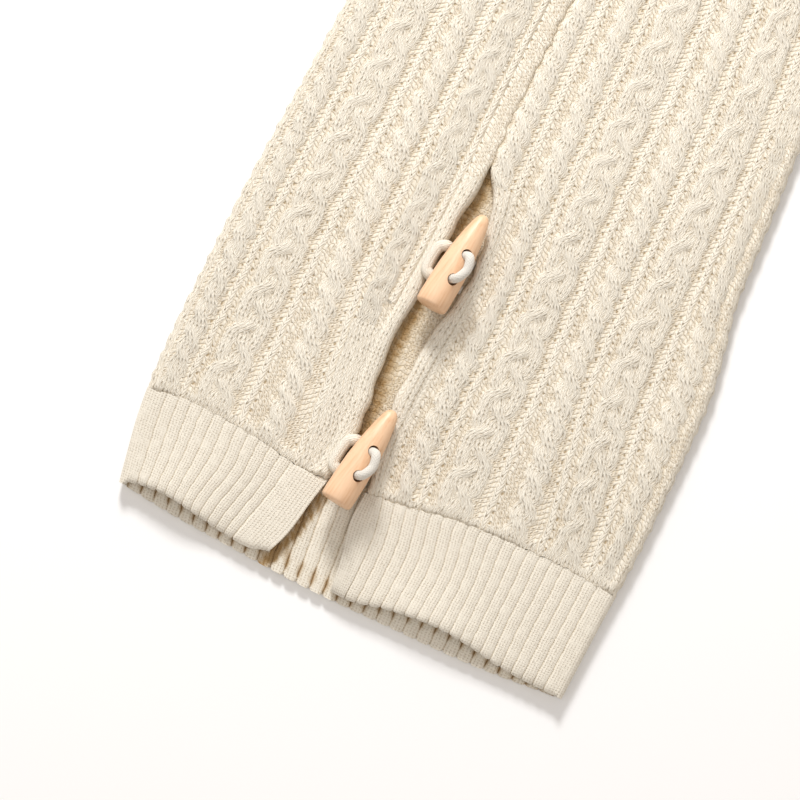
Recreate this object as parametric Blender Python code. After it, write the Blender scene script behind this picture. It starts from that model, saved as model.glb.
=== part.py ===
# A pair of cable-knit leg warmers, laid flat side by side.
# Each has a front slit closed by two wooden toggles.
# The pair lies on z = 0, +Z up, in metres, with the hems towards -Y and the legs beside each other along X.
# Sizes and tables are in millimetres, in one leg warmer's frame: x = 0 near its middle, y = 0 at its hem.
import math

import bmesh
import bpy
from mathutils import Vector

MM = 0.001

# The pair
LENGTH = 343.0
CENTRE_OFFSET = 152.5  # from the middle of the pair to x = 0 of each leg warmer

# The wall: a flat back layer, a narrow slot and the front layer
WALL = 3.0
SLOT = 0.8
FRONT_INSIDE = WALL + SLOT
FRONT_TOP = FRONT_INSIDE + WALL
FOLD_RADIUS = FRONT_TOP / 2
FOLD_STEPS = 3
SLOT_INSET = 1.2  # how far the slot runs into the fold
SEAM_GAP = 0.3

# Rows and cables: a wide plait crosses every four rows and a narrow rope every two
HEM_SEAM = 44.0
ROW = 4.125
BODY_ROWS = 60
TOP_SEAM = HEM_SEAM + BODY_ROWS * ROW
WELT_HEIGHT = 0.5
CABLE_START = 9.0  # the cables rise out of the plain rows over this height
MARGIN = {"narrow": 2.6, "wide": 4.3, "fold": 5.0}  # plain knit beside a cable
SHARES = {"narrow": (0.0, 0.5, 1.0), "wide": (0.0, 0.32, 0.68, 1.0)}
RELIEF = {"narrow": 1.9, "wide": 2.5}

# Slit bands
BAND_ROWS = BODY_ROWS // 2
BAND_PROFILE = ((0.0, 2.7), (0.3, 3.4), (0.75, 3.4), (1.0, 2.0))  # share from the body to the slit, height

# Ribs
RIB_RELIEF = 0.9
RIB_BASE = 2.7
LEFT_RIBS = 12
RIGHT_RIBS = 19
TOP_RIBS = 35
HEM_ROWS = 3
TOP_ROWS = 2
MOUTH_LIFT = 2.8  # how far the front hem lifts at the crown of each arch
ARCHES = ((-72.0, 26.0), (38.0, 40.0))  # crown's x, half width

# Toggles, turned about an axis that runs from base to tip
TOGGLE_PROFILE = (  # distance from the base, radius
    (0.0, 5.6),
    (0.9, 6.4),
    (12.0, 6.3),
    (23.0, 5.6),
    (31.0, 4.5),
    (37.0, 3.3),
    (40.3, 1.9),
)
TOGGLE_LENGTH = 41.2
TOGGLE_SIDES = 12
TOGGLE_Z = 14.9  # of the axis at the base
TOGGLE_DIP = math.radians(4.0)
TOGGLE_ROLL = math.radians(24.0)  # the holes face up and to the slit's right
HOLES = (12.3, 23.3)  # distance from the base
HOLE_RADIUS = 2.1
HOLE_SIDES = 10
TOGGLES = {  # base x, base y, lean of the axis in degrees
    "upper": (-13.0, 116.0, 5.6),
    "lower": (-13.7, 33.5, 7.3),
}

# Cords
CORD_RADIUS = 1.45
LOOP_RADIUS = 1.35
CORD_POINTS = 22
LOOP_POINTS = 12
CORD_Z = WALL + SEAM_GAP + CORD_RADIUS + 0.2

# Where each fold, ladder of single stitches, band border and slit edge lies, at each height y.
LINE_NAMES = (
    "left", "ladder1", "ladder2", "ladder3", "band_left", "slit_left",
    "slit_right", "band_right", "ladder4", "ladder5", "ladder6", "ladder7", "right",
)  # fmt: skip
LINES = {
    0: (-91.0, -78.0, -57.0, -36.0, -43.0, -31.5, -1.0, 8.5, 22.0, 42.0, 61.0, 80.0, 95.0),
    15: (-94.0, -80.0, -58.0, -36.0, -41.0, -25.5, -2.8, 6.5, 20.0, 41.5, 62.0, 82.0, 95.8),
    30: (-96.8, -83.0, -59.0, -35.0, -38.0, -22.5, -5.8, 4.5, 18.0, 41.0, 63.0, 84.0, 96.6),
    44: (-98.4, -85.0, -60.0, -34.5, -27.0, -19.6, -5.4, 1.0, 15.0, 40.5, 64.0, 84.5, 97.5),
    66: (-99.4, -84.6, -60.4, -36.0, -25.0, -17.8, -10.2, -1.2, 15.0, 39.8, 62.6, 83.4, 98.9),
    94: (-99.3, -84.0, -61.0, -39.0, -26.6, -20.8, -9.8, -0.8, 15.2, 38.6, 58.4, 80.6, 99.5),
    115: (-99.0, -83.7, -61.4, -41.2, -25.6, -19.6, -7.2, 0.6, 15.4, 38.0, 55.4, 78.4, 99.5),
    132: (-98.6, -83.4, -61.4, -41.8, -24.6, -19.0, -4.2, 1.4, 15.5, 37.5, 54.2, 77.5, 99.0),
    150: (-97.8, -82.6, -60.6, -41.8, -24.0, -17.8, -5.6, 0.6, 15.2, 37.3, 54.2, 77.3, 96.4),
    166: (-97.0, -81.8, -59.8, -41.7, -23.4, -16.2, -10.0, -0.8, 15.0, 37.1, 54.3, 77.2, 93.4),
    178: (-96.4, -81.2, -59.2, -41.6, -23.2, -15.75, -15.4, -1.6, 14.8, 37.0, 54.4, 77.1, 92.6),
    212: (-94.8, -79.5, -58.0, -41.4, -23.0, -15.85, -15.5, -1.8, 14.5, 37.0, 54.5, 77.0, 91.2),
    252: (-92.8, -77.6, -56.6, -40.6, -22.2, -14.45, -14.1, -1.6, 14.2, 36.4, 53.4, 75.2, 88.6),
    292: (-89.0, -74.4, -54.2, -39.0, -21.0, -13.65, -13.3, -1.2, 13.6, 35.0, 51.2, 72.0, 84.6),
    318: (-83.5, -69.5, -51.0, -36.5, -19.5, -12.65, -12.3, -1.0, 13.0, 33.0, 48.5, 68.0, 79.5),
    343: (-81.5, -68.0, -50.0, -36.0, -19.0, -12.15, -11.8, -1.0, 12.5, 32.0, 47.5, 66.5, 77.5),
}  # fmt: skip

CABLES = (  # kind, line at its left, line at its right
    ("narrow", "left", "ladder1"),
    ("wide", "ladder1", "ladder2"),
    ("narrow", "ladder2", "ladder3"),
    ("wide", "ladder3", "band_left"),
    ("narrow", "band_right", "ladder4"),
    ("wide", "ladder4", "ladder5"),
    ("narrow", "ladder5", "ladder6"),
    ("wide", "ladder6", "ladder7"),
    ("narrow", "ladder7", "right"),
)

# Edges that run across the leg, as x and height
FRONT_HEM = (
    (-91, 6.0), (-85, 8.0), (-74, 9.0), (-60, 7.0), (-48, 5.2), (-38, 4.6), (-31.5, 6.5),
    (-1, 3.0), (8, 2.8), (20, 5.5), (38, 7.5), (52, 6.8), (70, 4.2), (88, 3.5), (95, 3.5),
)  # fmt: skip
BACK_HEM = ((-91, 6.0), (-70, 3.5), (-40, 1.5), (-10, 0.0), (20, 0.0), (60, 0.6), (95, 3.5))
SEAM_RISE = (
    (-98, -1.5), (-80, 1.0), (-50, -1.0), (-35, -3.6), (-20, -4.0),
    (-5, -2.0), (10, -0.5), (30, 3.0), (55, 4.4), (75, 4.6), (98, 2.5),
)  # fmt: skip

# Colours, as linear red, green and blue
IVORY = (0.83, 0.76, 0.63)
CORD_WHITE = (0.88, 0.85, 0.78)
BEECH = (0.80, 0.47, 0.24)


def smooth(t):
    """Runs from 0 to 1 with level ends."""
    t = min(1.0, max(0.0, t))
    return t * t * (3 - 2 * t)


def mix(a, b, t):
    return a + (b - a) * t


def curve_value(points, x):
    """The value at x of a smooth curve through a short table of points."""
    if x <= points[0][0]:
        return points[0][1]
    if x >= points[-1][0]:
        return points[-1][1]
    i = max(k for k in range(len(points) - 1) if points[k][0] <= x)
    before = points[max(i - 1, 0)]
    (x0, y0), (x1, y1) = points[i], points[i + 1]
    after = points[min(i + 2, len(points) - 1)]
    span = x1 - x0
    t = (x - x0) / span
    slope0 = (y1 - before[1]) / (x1 - before[0]) * span
    slope1 = (after[1] - y0) / (after[0] - x0) * span
    return mix(y0, y1, smooth(t)) + t * (1 - t) * (slope0 * (1 - t) - slope1 * t)


LINE_CURVES = {
    name: tuple((y, row[i]) for y, row in LINES.items()) for i, name in enumerate(LINE_NAMES)
}


def line(name, y):
    return curve_value(LINE_CURVES[name], y)


def seam_y(x):
    return HEM_SEAM + curve_value(SEAM_RISE, x)


def route_points(route, count):
    """Evenly spread points of a smooth curve through a route."""
    pts = [Vector(p) for p in route]
    run = [0.0]
    for a, b in zip(pts, pts[1:]):
        run.append(run[-1] + (b - a).length)
    axes = [tuple((s, p[k]) for s, p in zip(run, pts)) for k in range(3)]
    return [Vector([curve_value(axis, run[-1] * i / (count - 1)) for axis in axes]) for i in range(count)]


def material(name, colour, roughness):
    made = bpy.data.materials.new(name)
    made.use_nodes = True
    shader = made.node_tree.nodes["Principled BSDF"]
    shader.inputs["Base Color"].default_value = (*colour, 1)
    shader.inputs["Roughness"].default_value = roughness
    shader.inputs["Metallic"].default_value = 0.0
    return made


def add_object(name, data, colour, roughness):
    obj = bpy.data.objects.new(name, data)
    bpy.context.scene.collection.objects.link(obj)
    data.materials.append(material(name, colour, roughness))
    return obj


def leg_place(side):
    """Puts a point of one leg's frame into the pair's; side is -1 at -X, and 1 for the mirror image at +X."""

    def place(point):
        x, y, z = point
        return Vector((side * (CENTRE_OFFSET - x), y - LENGTH / 2, z)) * MM

    return place


def sheet_object(name, place, columns, rows, closed=False):
    """A knitted wall: a grid whose columns each give a row's point, on the outside or the inside."""
    bm = bmesh.new()
    last = len(columns) - 1
    bmesh.ops.create_grid(bm, x_segments=last, y_segments=rows, size=1)
    column = bm.verts.layers.int.new("column")
    row = bm.verts.layers.int.new("row")
    for vert in bm.verts:
        vert[column] = round((vert.co.x + 1) / 2 * last)
        vert[row] = round((vert.co.y + 1) / 2 * rows)
    for vert in bm.verts:
        vert.co = place(columns[vert[column]](vert[row], True))
    if closed:
        bmesh.ops.remove_doubles(bm, verts=bm.verts, dist=1e-6)
    turned = bmesh.ops.extrude_face_region(bm, geom=bm.faces[:])["geom"]
    for vert in turned:
        if isinstance(vert, bmesh.types.BMVert):
            vert.co = place(columns[vert[column]](vert[row], False))
    bm.normal_update()
    bmesh.ops.recalc_face_normals(bm, faces=bm.faces)
    bmesh.ops.dissolve_limit(bm, angle_limit=math.radians(0.2), verts=bm.verts, edges=bm.edges)
    bmesh.ops.triangulate(bm, faces=bm.faces)
    mesh = bpy.data.meshes.new(name)
    bm.to_mesh(mesh)
    bm.free()
    mesh.shade_smooth()
    mesh.set_sharp_from_angle(angle=math.radians(50))
    return add_object(name, mesh, IVORY, roughness=0.95)


def fold_spot(name, step, y, outside):
    """x and z of one step of a fold, counted from its lowest."""
    angle = math.pi * step / FOLD_STEPS - math.pi / 2
    way = 1 if name == "left" else -1
    if outside:
        x = line(name, y) + way * FOLD_RADIUS * (1 - math.cos(angle))
        return x, FOLD_RADIUS * (1 + math.sin(angle))
    tucked = 0 < step < FOLD_STEPS
    x = line(name, y) + way * (FOLD_RADIUS - SLOT_INSET * tucked)
    return x, FRONT_INSIDE if step > FOLD_STEPS / 2 else WALL


def cable_height(kind, share, row):
    """Height of a cable over the plain knit."""
    if share in (0.0, 1.0):
        return 0.0
    if kind == "narrow":
        return RELIEF[kind] * (0.8 + 0.2 * math.cos(math.pi * row))
    return RELIEF[kind] * (0.78 + 0.22 * math.cos(math.tau * (row / 4 + share)))


def cable_x(cable, share, y):
    kind, left, right = cable
    left_margin = MARGIN["fold"] if left == "left" else MARGIN[kind]
    right_margin = MARGIN["fold"] if right == "right" else MARGIN[kind]
    return mix(line(left, y) + left_margin, line(right, y) - right_margin, share)


def border_point(line_name, row, rows):
    """x and y of a row of a slit band's border, which the body's edge follows in straight runs."""
    foot = seam_y(line(line_name, HEM_SEAM)) + SEAM_GAP
    y = mix(HEM_SEAM, TOP_SEAM, row / rows) if row else foot
    return line(line_name, y), y


def body_border(line_name, way):
    def spot(row, outside):
        lower = border_point(line_name, row // 2, BAND_ROWS)
        upper = border_point(line_name, (row + 1) // 2, BAND_ROWS)
        height = WALL + WELT_HEIGHT * (row == 1)
        x, y = ((a + b) / 2 for a, b in zip(lower, upper))
        return x + way * SEAM_GAP, y, FRONT_INSIDE + (height if outside else 0.0)

    return spot


def body_cable(cable, share):
    def spot(row, outside):
        foot = seam_y(cable_x(cable, share, HEM_SEAM)) + SEAM_GAP
        y = mix(foot, TOP_SEAM, row / BODY_ROWS)
        rise = cable_height(cable[0], share, row) * smooth((y - foot) / CABLE_START)
        height = WALL + WELT_HEIGHT * (row == 1) + rise
        return cable_x(cable, share, y), y, FRONT_INSIDE + (height if outside else 0.0)

    return spot


def body_fold(name, step):
    def spot(row, outside):
        foot = seam_y(line(name, HEM_SEAM)) + SEAM_GAP
        y = mix(foot, TOP_SEAM, row / BODY_ROWS)
        x, z = fold_spot(name, step, y, outside)
        return x, y, z

    return spot


def build_body(name, place):
    """The cable-knit panel: from the right band of the slit, round the back, to the left band."""
    columns = [body_border("band_right", 1)]
    columns += [body_cable(cable, share) for cable in CABLES[4:] for share in SHARES[cable[0]]]
    columns += [body_fold("right", step) for step in range(FOLD_STEPS, -1, -1)]
    columns += [body_fold("left", step) for step in range(FOLD_STEPS + 1)]
    columns += [body_cable(cable, share) for cable in CABLES[:4] for share in SHARES[cable[0]]]
    columns.append(body_border("band_left", -1))
    return sheet_object(name, place, columns, BODY_ROWS)


def hem_lift(x, row):
    arch = max(smooth(1 - abs(x - crown) / half) for crown, half in ARCHES)
    return MOUTH_LIFT * arch * (1 - row / HEM_ROWS) ** 2


def hem_front(start, end, share, height):
    """A front column of the hem rib, its place given by two lines with offsets and a share between them."""

    def x_at(y):
        return mix(line(start[0], y) + start[1], line(end[0], y) + end[1], share)

    def spot(row, outside):
        top = seam_y(x_at(HEM_SEAM)) - SEAM_GAP / 3
        y = mix(curve_value(FRONT_HEM, x_at(0)), top, row / HEM_ROWS)
        x = x_at(y)
        return x, y, FRONT_INSIDE + hem_lift(x, row) + (height if outside else 0.0)

    return spot


def hem_fold(name, step):
    def spot(row, outside):
        edge = line(name, 0)
        hem = mix(curve_value(BACK_HEM, edge), curve_value(FRONT_HEM, edge), step / FOLD_STEPS)
        y = mix(hem, seam_y(line(name, HEM_SEAM)) - SEAM_GAP / 3, row / HEM_ROWS)
        x, z = fold_spot(name, step, y, outside)
        return x, y, z

    return spot


def hem_back(share):
    def spot(row, outside):
        x_hem = mix(line("right", 0), line("left", 0), share)
        x_seam = mix(line("right", HEM_SEAM), line("left", HEM_SEAM), share)
        seam = mix(seam_y(line("right", HEM_SEAM)), seam_y(line("left", HEM_SEAM)), share)
        y = mix(curve_value(BACK_HEM, x_hem), seam - SEAM_GAP / 3, row / HEM_ROWS)
        return mix(x_hem, x_seam, row / HEM_ROWS), y, 0.0 if outside else WALL

    return spot


def build_hem_rib(name, place):
    """The ribbed cuff at the ankle, open at the slit."""
    plain = RIB_BASE - 0.6
    past_fold = FOLD_RADIUS + 2
    columns = [hem_front(("slit_right", 0), ("slit_right", 0), 0.0, plain)]
    for i in range(2 * RIGHT_RIBS + 1):
        height = RIB_BASE + RIB_RELIEF * (i % 2)
        columns.append(hem_front(("band_right", 0), ("right", -past_fold), i / (2 * RIGHT_RIBS), height))
    columns += [hem_fold("right", step) for step in range(FOLD_STEPS, -1, -1)]
    columns += [hem_back(i / 8) for i in range(1, 8)]
    columns += [hem_fold("left", step) for step in range(FOLD_STEPS + 1)]
    for i in range(2 * LEFT_RIBS + 1):
        height = RIB_BASE + RIB_RELIEF * (i % 2)
        columns.append(hem_front(("left", past_fold), ("band_left", 0), i / (2 * LEFT_RIBS), height))
    columns.append(hem_front(("slit_left", 0), ("slit_left", 0), 0.0, plain))
    return sheet_object(name, place, columns, HEM_ROWS)


def top_fold(name, step):
    def spot(row, outside):
        y = mix(TOP_SEAM + SEAM_GAP, LENGTH, row / TOP_ROWS)
        x, z = fold_spot(name, step, y, outside)
        return x, y, z

    return spot


def top_front(share, height):
    def spot(row, outside):
        y = mix(TOP_SEAM + SEAM_GAP, LENGTH, row / TOP_ROWS)
        past_fold = FOLD_RADIUS + 2
        x = mix(line("left", y) + past_fold, line("right", y) - past_fold, share)
        return x, y, FRONT_INSIDE + (height if outside else 0.0)

    return spot


def build_top_rib(name, place):
    """The ribbed cuff at the upper end, a whole ring."""
    columns = [top_fold("left", step) for step in range(FOLD_STEPS + 1)]
    for i in range(2 * TOP_RIBS + 1):
        columns.append(top_front(i / (2 * TOP_RIBS), RIB_BASE + RIB_RELIEF * (i % 2)))
    columns += [top_fold("right", step) for step in range(FOLD_STEPS, -1, -1)]
    columns.append(columns[0])
    return sheet_object(name, place, columns, TOP_ROWS, closed=True)


def band_column(border, edge, share, height):
    def spot(row, outside):
        x, y = border_point(border, row, BAND_ROWS)
        edge_x = line(edge, y)
        if edge == "slit_right":
            edge_x = max(edge_x, line("slit_left", y) + SEAM_GAP)
        return mix(x, edge_x, share), y, FRONT_INSIDE + (height if outside else 0.0)

    return spot


def build_band(name, place, border, edge):
    """The plain border along one edge of the slit, which closes up with the other into a seam above it."""
    columns = [band_column(border, edge, share, height) for share, height in BAND_PROFILE]
    return sheet_object(name, place, columns, BAND_ROWS)


def toggle_frame(which):
    """Turns a place along a toggle, across its holes and sideways into a point of the leg's frame."""
    base_x, base_y, lean_degrees = TOGGLES[which]
    lean = math.radians(lean_degrees)
    level = math.cos(TOGGLE_DIP)
    along = Vector((math.sin(lean) * level, math.cos(lean) * level, -math.sin(TOGGLE_DIP)))
    side = along.cross(Vector((0, 0, 1))).normalized()
    up = side.cross(along)
    across = up * math.cos(TOGGLE_ROLL) + side * math.sin(TOGGLE_ROLL)
    sideways = side * math.cos(TOGGLE_ROLL) - up * math.sin(TOGGLE_ROLL)
    base = Vector((base_x, base_y, TOGGLE_Z))

    def point(distance, hole_way, side_way=0.0):
        return base + along * distance + across * hole_way + sideways * side_way

    return point


def build_toggle(name, place, which):
    point = toggle_frame(which)
    bm = bmesh.new()
    profile = [(0.0, 0.0), *TOGGLE_PROFILE, (TOGGLE_LENGTH, 0.0)]
    verts = [bm.verts.new((radius, 0, distance)) for distance, radius in profile]
    edges = [bm.edges.new(pair) for pair in zip(verts, verts[1:])]
    bmesh.ops.spin(bm, geom=verts + edges, cent=(0, 0, 0), axis=(0, 0, 1), angle=math.tau, steps=TOGGLE_SIDES)
    bmesh.ops.remove_doubles(bm, verts=bm.verts, dist=1e-3)
    for vert in bm.verts:
        x, y, distance = vert.co
        vert.co = place(point(distance, x, y))
    bm.normal_update()
    bmesh.ops.recalc_face_normals(bm, faces=bm.faces)
    mesh = bpy.data.meshes.new(name)
    bm.to_mesh(mesh)
    bm.free()
    mesh.shade_smooth()
    mesh.set_sharp_from_angle(angle=math.radians(40))
    toggle = add_object(name, mesh, BEECH, roughness=0.4)
    for number, distance in enumerate(HOLES):
        drill = toggle.modifiers.new(f"hole {number}", "BOOLEAN")
        drill.operation = "DIFFERENCE"
        drill.solver = "EXACT"
        drill.object = build_cutter(f"{name}_cutter_{number}", place, point, distance)
    return toggle


def build_cutter(name, place, point, distance):
    """A drill through a toggle."""
    bm = bmesh.new()
    bmesh.ops.create_cone(
        bm, cap_ends=True, segments=HOLE_SIDES, radius1=HOLE_RADIUS, radius2=HOLE_RADIUS, depth=18.0
    )
    for vert in bm.verts:
        x, y, z = vert.co
        vert.co = place(point(distance + x, z, y))
    bm.normal_update()
    bmesh.ops.recalc_face_normals(bm, faces=bm.faces)
    mesh = bpy.data.meshes.new(name)
    bm.to_mesh(mesh)
    bm.free()
    cutter = bpy.data.objects.new(name, mesh)
    bpy.context.scene.collection.objects.link(cutter)
    cutter.hide_render = True
    cutter.display_type = "WIRE"
    return cutter


def build_cord(name, place, route, count, radius):
    curve = bpy.data.curves.new(name, "CURVE")
    curve.dimensions = "3D"
    curve.bevel_depth = radius * MM
    curve.bevel_resolution = 2
    curve.use_fill_caps = True
    points = route_points(route, count)
    spline = curve.splines.new("POLY")
    spline.points.add(len(points) - 1)
    for target, point in zip(spline.points, points):
        target.co = (*place(point), 1)
    return add_object(name, curve, CORD_WHITE, roughness=0.8)


def build_toggle_cord(name, place, which):
    """From the slit's right edge up through one hole, over, down through the other and back to the edge."""
    point = toggle_frame(which)
    route = []
    for distance, order in ((HOLES[1], 1), (HOLES[0], -1)):
        low = point(distance, -6.5)
        edge = min(line("slit_right", low.y + way * CORD_RADIUS) for way in (-1, 1)) - SEAM_GAP
        half = [
            (edge, low.y, CORD_Z),
            (mix(edge, low.x, 0.55), low.y, CORD_Z),
            (low.x + 0.6, low.y, CORD_Z + 1.5),
            point(distance, -5.0),
            point(distance, 0.0),
            point(distance, 6.0),
            point(distance - order * 1.2, 8.6, 0.4),
        ]
        route += half[::order]
        if order == 1:
            route.append(point((HOLES[0] + HOLES[1]) / 2, 9.2, 1.6))
    return build_cord(name, place, route, CORD_POINTS, CORD_RADIUS)


def build_loop(name, place, which):
    """The elastic that the toggle buttons through, out of the slit's left edge and over the left band."""
    base_y = TOGGLES[which][1]
    low, high = base_y + 11.5, base_y + 25.0
    over_band = FRONT_INSIDE + BAND_PROFILE[1][1] + SEAM_GAP + LOOP_RADIUS
    stand = SEAM_GAP + LOOP_RADIUS
    route = []
    for y, order in ((high, 1), (low, -1)):
        edge = max(line("slit_left", y + way * LOOP_RADIUS) for way in (-1, 1))
        half = [
            (edge + stand, y, CORD_Z),
            (edge + stand, y, CORD_Z + 1.6),
            (edge + stand - 1.2, y - order * 0.3, over_band + 0.2),
            (edge - 1.6, y - order * 1.8, over_band + 0.1),
        ]
        route += half[::order]
        if order == 1:
            route.append((line("slit_left", (low + high) / 2) - 3.0, (low + high) / 2, over_band))
    return build_cord(name, place, route, LOOP_POINTS, LOOP_RADIUS)


def build_leg(leg, side):
    place = leg_place(side)
    build_body(f"{leg}_cable_body", place)
    build_hem_rib(f"{leg}_hem_rib", place)
    build_top_rib(f"{leg}_top_rib", place)
    build_band(f"{leg}_slit_band_a", place, "band_left", "slit_left")
    build_band(f"{leg}_slit_band_b", place, "band_right", "slit_right")
    for which in TOGGLES:
        build_toggle(f"{leg}_toggle_{which}", place, which)
        build_toggle_cord(f"{leg}_toggle_cord_{which}", place, which)
        build_loop(f"{leg}_loop_{which}", place, which)


def main():
    for obj in list(bpy.data.objects):
        bpy.data.objects.remove(obj)
    build_leg("left", -1)
    build_leg("right", 1)


main()
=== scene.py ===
# Looks for a pair of ivory cable-knit leg warmers with wooden toggles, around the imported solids.
import math

import bmesh
import bpy
import numpy as np
from mathutils import Matrix, Vector


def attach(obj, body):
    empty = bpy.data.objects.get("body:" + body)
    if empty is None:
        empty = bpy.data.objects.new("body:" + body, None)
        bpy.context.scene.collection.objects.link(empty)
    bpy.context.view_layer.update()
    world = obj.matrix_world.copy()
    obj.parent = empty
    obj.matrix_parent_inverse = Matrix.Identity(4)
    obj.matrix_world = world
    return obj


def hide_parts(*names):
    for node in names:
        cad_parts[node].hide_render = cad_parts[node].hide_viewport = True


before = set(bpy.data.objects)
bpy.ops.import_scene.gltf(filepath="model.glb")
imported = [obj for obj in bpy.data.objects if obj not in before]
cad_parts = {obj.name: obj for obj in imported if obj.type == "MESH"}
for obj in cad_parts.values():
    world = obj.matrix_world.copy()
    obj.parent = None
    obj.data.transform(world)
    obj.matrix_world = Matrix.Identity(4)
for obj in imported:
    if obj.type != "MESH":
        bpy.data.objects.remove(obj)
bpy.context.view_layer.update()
print("frame loaded")

mm = 0.001

# The leg's own frame is in millimetres: x across it, y up from the hem, z off the floor.
leg = {
    "length": 343.0,
    "centreOffset": 152.5,  # from the pair's middle to x = 0 of each leg
    "wall": 3.0,
    "slot": 0.8,  # between the front and back layers
    "foldWall": 1.6,
    "hemSeam": 44.0,
    "topSeam": 291.5,
}
frontInside = leg["wall"] + leg["slot"]
foldRadius = (frontInside + leg["wall"]) / 2
foldShares = [j / 8 for j in range(1, 8)]  # of the half turn round a fold

# Where the folds, ladders, band borders and slit edges lie, at each height.
lineNames = (
    "left", "ladder1", "ladder2", "ladder3", "bandLeft", "slitLeft",
    "slitRight", "bandRight", "ladder4", "ladder5", "ladder6", "ladder7", "right",
)
lineTable = {
    0: (-91, -78, -57, -36, -43, -31.5, -1, 8.5, 22, 42, 61, 80, 95),
    15: (-94, -80, -58, -36, -41, -25.5, -2.8, 6.5, 20, 41.5, 62, 82, 95.8),
    30: (-96.8, -83, -59, -35, -38, -22.5, -5.8, 4.5, 18, 41, 63, 84, 96.6),
    44: (-98.4, -85, -60, -34.5, -27, -19.6, -5.4, 1, 15, 40.5, 64, 84.5, 97.5),
    66: (-99.4, -84.6, -60.4, -36, -25, -17.8, -10.2, -1.2, 15, 39.8, 62.6, 83.4, 98.9),
    94: (-99.3, -84, -61, -39, -26.6, -20.8, -9.8, -0.8, 15.2, 38.6, 58.4, 80.6, 99.5),
    115: (-99, -83.7, -61.4, -41.2, -25.6, -19.6, -7.2, 0.6, 15.4, 38, 55.4, 78.4, 99.5),
    132: (-98.6, -83.4, -61.4, -41.8, -24.6, -19, -4.2, 1.4, 15.5, 37.5, 54.2, 77.5, 99),
    150: (-97.8, -82.6, -60.6, -41.8, -24, -17.8, -5.6, 0.6, 15.2, 37.3, 54.2, 77.3, 96.4),
    166: (-97, -81.8, -59.8, -41.7, -23.4, -16.2, -10, -0.8, 15, 37.1, 54.3, 77.2, 93.4),
    178: (-96.4, -81.2, -59.2, -41.6, -23.2, -15.75, -15.4, -1.6, 14.8, 37, 54.4, 77.1, 92.6),
    212: (-94.8, -79.5, -58, -41.4, -23, -15.85, -15.5, -1.8, 14.5, 37, 54.5, 77, 91.2),
    252: (-92.8, -77.6, -56.6, -40.6, -22.2, -14.45, -14.1, -1.6, 14.2, 36.4, 53.4, 75.2, 88.6),
    292: (-89, -74.4, -54.2, -39, -21, -13.65, -13.3, -1.2, 13.6, 35, 51.2, 72, 84.6),
    318: (-83.5, -69.5, -51, -36.5, -19.5, -12.65, -12.3, -1, 13, 33, 48.5, 68, 79.5),
    343: (-81.5, -68, -50, -36, -19, -12.15, -11.8, -1, 12.5, 32, 47.5, 66.5, 77.5),
}
frontHem = (
    (-91, 6), (-85, 8), (-74, 9), (-60, 7), (-48, 5.2), (-38, 4.6), (-31.5, 6.5),
    (-1, 3), (8, 2.8), (20, 5.5), (38, 7.5), (52, 6.8), (70, 4.2), (88, 3.5), (95, 3.5),
)
backHem = ((-91, 6), (-70, 3.5), (-40, 1.5), (-10, 0), (20, 0), (60, 0.6), (95, 3.5))
seamRise = (
    (-98, -1.5), (-80, 1), (-50, -1), (-35, -3.6), (-20, -4),
    (-5, -2), (10, -0.5), (30, 3), (55, 4.4), (75, 4.6), (98, 2.5),
)


def smooth(t):
    t = np.clip(t, 0, 1)
    return t * t * (3 - 2 * t)


def mix(a, b, t):
    return a + (b - a) * t


def curveAt(points, x):  # a smooth curve through a short table
    xs, ys = (np.array(v, float) for v in zip(*points))
    x = np.clip(np.asarray(x, float), xs[0], xs[-1])
    i = np.clip(np.searchsorted(xs, x, side="right") - 1, 0, len(xs) - 2)
    before, after = np.maximum(i - 1, 0), np.minimum(i + 2, len(xs) - 1)
    span = xs[i + 1] - xs[i]
    t = (x - xs[i]) / span
    slope0 = (ys[i + 1] - ys[before]) / (xs[i + 1] - xs[before]) * span
    slope1 = (ys[after] - ys[i]) / (xs[after] - xs[i]) * span
    return mix(ys[i], ys[i + 1], smooth(t)) + t * (1 - t) * (slope0 * (1 - t) - slope1 * t)


lineCurves = {
    name: [(y, row[i]) for y, row in lineTable.items()] for i, name in enumerate(lineNames)
}
lineCurves["leftTop"] = [(y, x + foldRadius) for y, x in lineCurves["left"]]
lineCurves["rightTop"] = [(y, x - foldRadius) for y, x in lineCurves["right"]]
# where the cuff's ribs meet its plain strips
lineCurves["ribLeft"] = [(0, -45), (15, -41.2), (30, -37.6), (44, -35.6)]
lineCurves["ribRight"] = [(0, 4.5), (15, 5), (30, 4.3), (44, 1.5)]


def lineAt(name, y):
    at = curveAt(lineCurves[name], y)
    if name.startswith("ladder"):  # the cables push the ladders to and fro
        number = int(name[6:])
        at = at + 0.26 * np.sin(0.379 * y + 1.7 * number) + 0.14 * np.sin(0.93 * y + 2.9 * number)
    return at


def seamAt(x):
    return leg["hemSeam"] + curveAt(seamRise, x) + 0.22 * np.sin(1.9 * x) + 0.18 * np.sin(0.83 * x + 1)


# Knit: a course is one row of stitches and a wale one column.
knit = {
    "course": 2.06,
    "wale": 1.55,
    "ladderHalf": 1.3,
    "ladderRise": 0.45,
    "plainLip": 112.0,
    "cableStart": 5.5,  # the cables rise out of the plain rows over this height
    "gridStep": 1.05,
    "countedAt": 130.0,  # the height where a field's columns are counted
}
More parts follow.
